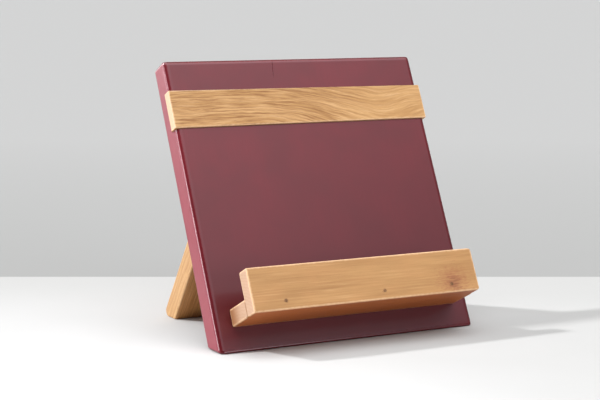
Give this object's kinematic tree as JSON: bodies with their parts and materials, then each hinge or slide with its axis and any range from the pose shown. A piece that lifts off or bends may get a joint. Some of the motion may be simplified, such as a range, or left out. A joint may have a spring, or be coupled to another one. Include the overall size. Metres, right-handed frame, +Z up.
{
  "type": "tablet stand",
  "caption": "Small wooden stand: a leaning painted board with an inlaid wood strip, an L-shaped ledge with a raised lip and a hinged rear leg.",
  "frame": {"origin": "centre of the footprint's bounding box, at table height", "axes": "+Z up, the board's painted face looks towards -Y and leans back towards +Y, +X runs along the ledge to the right of someone facing the stand"},
  "size_m": [0.2054, 0.1654, 0.1916],
  "materials": {
    "painted_board": "satin burgundy paint over wood",
    "oak": "oiled oak with open grain",
    "ledge_wood": "oiled smooth hardwood",
    "leg_wood": "oiled oak",
    "hinge_brass": "satin brass",
    "screw_brass": "satin brass",
    "steel": "plain steel"
  },
  "bodies": {
    "stand": {"board": "painted_board", "accent_strip": "oak", "ledge_shelf": "ledge_wood", "ledge_lip": "ledge_wood", "lip_brad_left": "steel", "lip_brad_middle": "steel", "lip_brad_right": "steel", "shelf_screw_left": "steel", "shelf_screw_middle": "steel", "shelf_screw_right": "steel", "hinge_left_fixed_leaf": "hinge_brass", "hinge_right_fixed_leaf": "hinge_brass", "hinge_left_pin": "steel", "hinge_right_pin": "steel", "screw_hinge_left_fixed_leaf_inner": "screw_brass", "screw_hinge_left_fixed_leaf_outer": "screw_brass", "screw_hinge_right_fixed_leaf_inner": "screw_brass", "screw_hinge_right_fixed_leaf_outer": "screw_brass"},
    "rear_leg": {"leg": "leg_wood", "hinge_left_moving_leaf": "hinge_brass", "hinge_right_moving_leaf": "hinge_brass", "screw_hinge_left_moving_leaf_inner": "screw_brass", "screw_hinge_left_moving_leaf_outer": "screw_brass", "screw_hinge_right_moving_leaf_inner": "screw_brass", "screw_hinge_right_moving_leaf_outer": "screw_brass"}
  },
  "joints": [
    {"name": "leg_fold", "type": "hinge", "parent": "stand", "child": "rear_leg", "pos_m": [0, 0.00494, 0.08026], "axis": [-1, 0, 0], "range_deg": [0, 64]}
  ]
}
